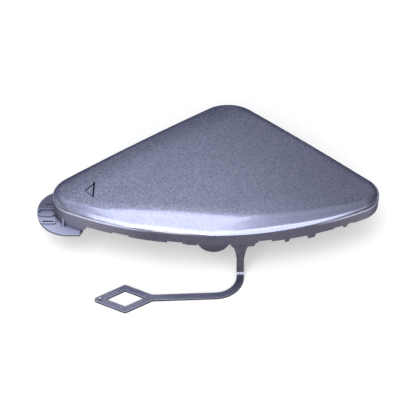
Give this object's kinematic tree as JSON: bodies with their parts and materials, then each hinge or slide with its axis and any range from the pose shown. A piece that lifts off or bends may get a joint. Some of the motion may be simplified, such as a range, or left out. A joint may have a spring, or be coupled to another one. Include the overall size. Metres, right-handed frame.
{
  "type": "bumper tow hook cover",
  "caption": "Three-cornered crowned cover for a bumper's towing eye opening, with a rolled front edge, stepped skirt, end tab, snap legs and a flat tether ending in a diamond eye.",
  "frame": {"origin": "centre of the bounding box at the level of the leg toes and the strap's underside", "axes": "+X along the front edge away from the tab, +Y from the front edge to the back corner, +Z out of the painted face"},
  "size_m": [0.1382, 0.1012, 0.0266],
  "materials": {
    "metallic_paint": "blue-grey metallic base coat under clear coat, on moulded plastic"
  },
  "bodies": {
    "root": {"tow_hook_cover": "metallic_paint"}
  },
  "joints": []
}
